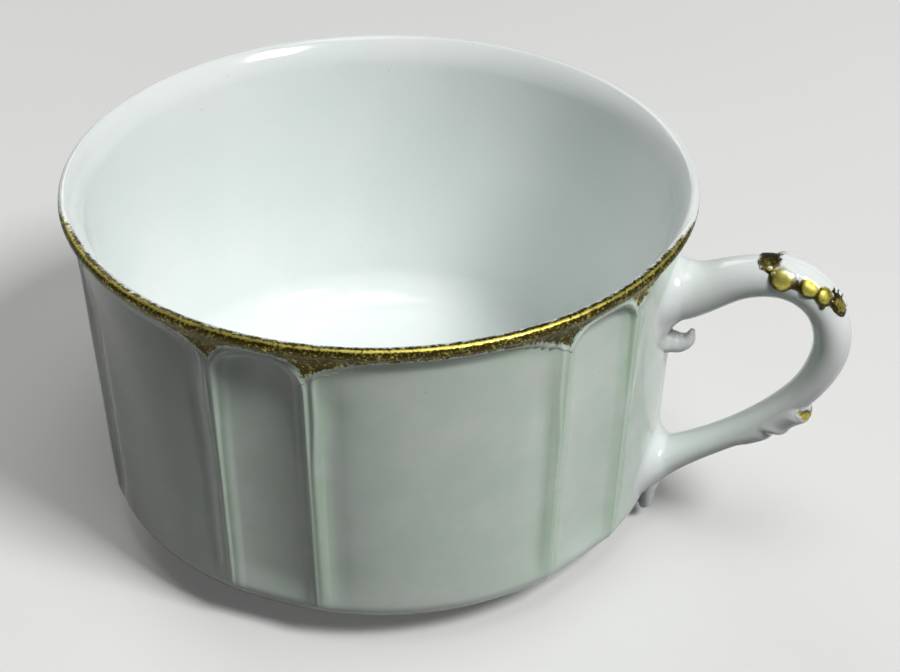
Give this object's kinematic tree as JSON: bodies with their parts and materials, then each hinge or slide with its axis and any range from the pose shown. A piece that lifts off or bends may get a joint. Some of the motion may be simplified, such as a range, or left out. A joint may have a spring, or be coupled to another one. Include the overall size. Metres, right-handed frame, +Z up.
{
  "type": "flat cup",
  "caption": "White glazed porcelain teacup: straight-sided bowl with arched flutes, looped handle with leaf relief, gilt rim, flat bottom on a low foot ring.",
  "frame": {"origin": "on the cup's axis, in the plane of the foot ring's standing face", "axes": "+Z up along the cup's axis, +X towards the handle, XZ is the mirror plane"},
  "size_m": [0.1207, 0.0962, 0.056],
  "materials": {
    "porcelain": "clear gloss glaze over white porcelain",
    "bare_foot": "unglazed, ground smooth",
    "gilding": "fired gold, burnished, worn along the rim"
  },
  "bodies": {
    "root": {"cup_body": "porcelain", "foot_ring": "bare_foot", "handle": "porcelain", "upper_slip_joint": "porcelain", "lower_slip_joint": "porcelain", "thumb_leaf": "porcelain", "upper_curl": "porcelain", "lower_leaf": "porcelain", "lower_tail": "porcelain", "rim_gilding": "gilding", "thumb_leaf_gilding": "gilding", "lower_leaf_gilding": "gilding"}
  },
  "joints": []
}
